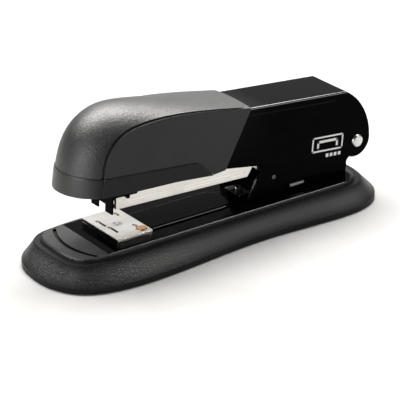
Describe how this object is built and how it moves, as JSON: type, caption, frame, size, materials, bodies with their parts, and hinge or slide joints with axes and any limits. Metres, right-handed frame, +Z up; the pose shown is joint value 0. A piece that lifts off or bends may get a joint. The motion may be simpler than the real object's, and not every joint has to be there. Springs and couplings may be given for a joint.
{
  "type": "stapler",
  "caption": "Half-strip desk stapler with a textured shoe, gloss black steel arm, wrapped grip, sprung magazine, turning anvil and sliding staple pusher.",
  "frame": {"origin": "bottom centre of the shoe, on the surface it stands on", "axes": "+Y from the nose to the hinge, +Z up, +X across to the side with the printed mark"},
  "size_m": [0.0544, 0.16, 0.0645],
  "materials": {
    "shoe_plastic": "fine spark-eroded texture, satin",
    "pad_rubber": "matt",
    "black_enamel": "stoved gloss enamel",
    "bright_nickel": "bright nickel plate, light wear",
    "zinc_steel": "zinc plate, satin",
    "spring_steel": "bright drawn spring steel",
    "staple_wire": "galvanised wire, glued in a strip",
    "blued_steel": "blackened steel, satin",
    "warm_brass": "worn copper alloy",
    "pusher_plastic": "moulded, satin",
    "button_plastic": "moulded, satin",
    "grip_plastic": "fine leather-like texture, satin",
    "band_plastic": "fine texture, satin"
  },
  "bodies": {
    "base": {"base_shoe": "shoe_plastic", "foot_pads": "pad_rubber", "base_plate": "black_enamel", "shoe_screws": "zinc_steel", "hinge_bracket": "black_enamel", "bracket_rivets": "black_enamel", "tie_strip": "zinc_steel", "return_spring": "spring_steel", "stop_pin": "blued_steel", "pivot_rivet": "zinc_steel", "pivot_washers": "zinc_steel", "anvil_seat": "bright_nickel", "anvil_spring": "spring_steel"},
    "anvil_lifter": {"anvil_stud": "zinc_steel", "anvil_button": "button_plastic"},
    "anvil": {"anvil_plate": "bright_nickel", "index_rivet": "warm_brass"},
    "magazine": {"magazine": "bright_nickel", "magazine_roller": "zinc_steel", "nose_plate": "black_enamel", "staple_rail": "bright_nickel", "staple_strip": "staple_wire", "pusher_rod": "zinc_steel", "rod_anchor": "zinc_steel", "arm_spring": "spring_steel", "pusher_spring": "spring_steel"},
    "pusher": {"pusher": "pusher_plastic"},
    "arm": {"arm": "black_enamel", "driver_leaf": "spring_steel", "driver_blade": "spring_steel", "leaf_rivets": "zinc_steel", "grip_cap": "grip_plastic", "grip_band": "band_plastic", "grip_screws": "zinc_steel"}
  },
  "joints": [
    {"name": "magazine_hinge", "type": "hinge", "parent": "base", "child": "magazine", "pos_m": [0, 0.06815, 0.0253], "axis": [-1, 0, 0], "range_deg": [-3.8, 0], "stiffness_Nm_per_rad": 0.6, "springref_deg": 14.32, "deforming": ["return_spring"]},
    {"name": "arm_hinge", "type": "hinge", "parent": "magazine", "child": "arm", "pos_m": [0, 0.06815, 0.0253], "axis": [-1, 0, 0], "range_deg": [-3.9, 75], "stiffness_Nm_per_rad": 0.6, "springref_deg": 4.58, "deforming": ["arm_spring"]},
    {"name": "pusher_slide", "type": "slide", "parent": "magazine", "child": "pusher", "axis": [0, 0.9993, -0.0382], "range_m": [0, 0.0315], "stiffness_N_per_m": 40, "springref_m": -0.02, "deforming": ["pusher_spring"]},
    {"name": "anvil_lift", "type": "slide", "parent": "base", "child": "anvil_lifter", "axis": [0, 0, 1], "range_m": [0, 0.0016], "stiffness_N_per_m": 600, "springref_m": -0.003, "deforming": ["anvil_spring"]},
    {"name": "anvil_turn", "type": "hinge", "parent": "anvil_lifter", "child": "anvil", "pos_m": [0, -0.04205, 0.0131], "axis": [0, 0, 1], "range_deg": [0, 180]}
  ]
}
